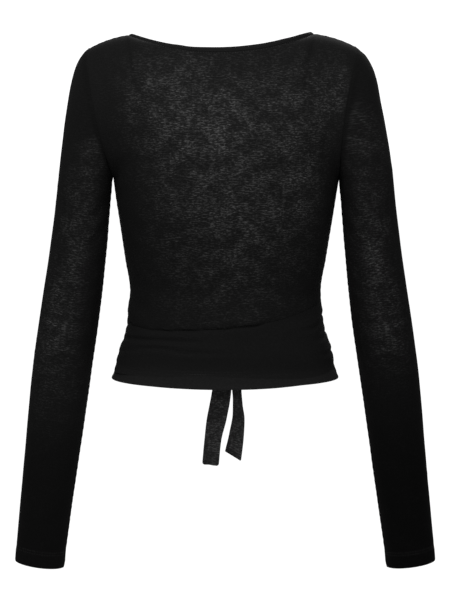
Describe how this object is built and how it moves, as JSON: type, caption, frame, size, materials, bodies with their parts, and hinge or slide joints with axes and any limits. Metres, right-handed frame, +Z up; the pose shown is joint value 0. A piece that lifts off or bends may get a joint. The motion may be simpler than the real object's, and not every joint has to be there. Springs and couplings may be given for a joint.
{
  "type": "long-sleeved wrap top",
  "caption": "Close-fitting cropped wrap top of thin black slub jersey, with long set-in sleeves, a wide neckline and a waist tie knotted at the front, filled out with no wearer.",
  "frame": {"origin": "midway between the two shoulder seams, at their height, where the wearer's shoulders hold it up", "axes": "+X is the wearer's right, +Y the front, +Z up"},
  "size_m": [0.511, 0.2124, 0.6448],
  "materials": {
    "black_jersey": "thin slub jersey, matt, with short pale streaks across it",
    "black_binding": "folded jersey binding, matt, with a row of stitching",
    "black_tie": "the same jersey laid double, matt and denser, softly creased"
  },
  "bodies": {
    "root": {"back": "black_jersey", "front_left": "black_jersey", "front_right": "black_jersey", "sleeve_left": "black_jersey", "sleeve_right": "black_jersey", "neck_band_back": "black_binding", "neck_band_left": "black_binding", "neck_band_right": "black_binding", "waist_sash": "black_tie", "tie_knot": "black_tie", "tie_tail_left": "black_tie", "tie_tail_right": "black_tie"}
  },
  "joints": []
}
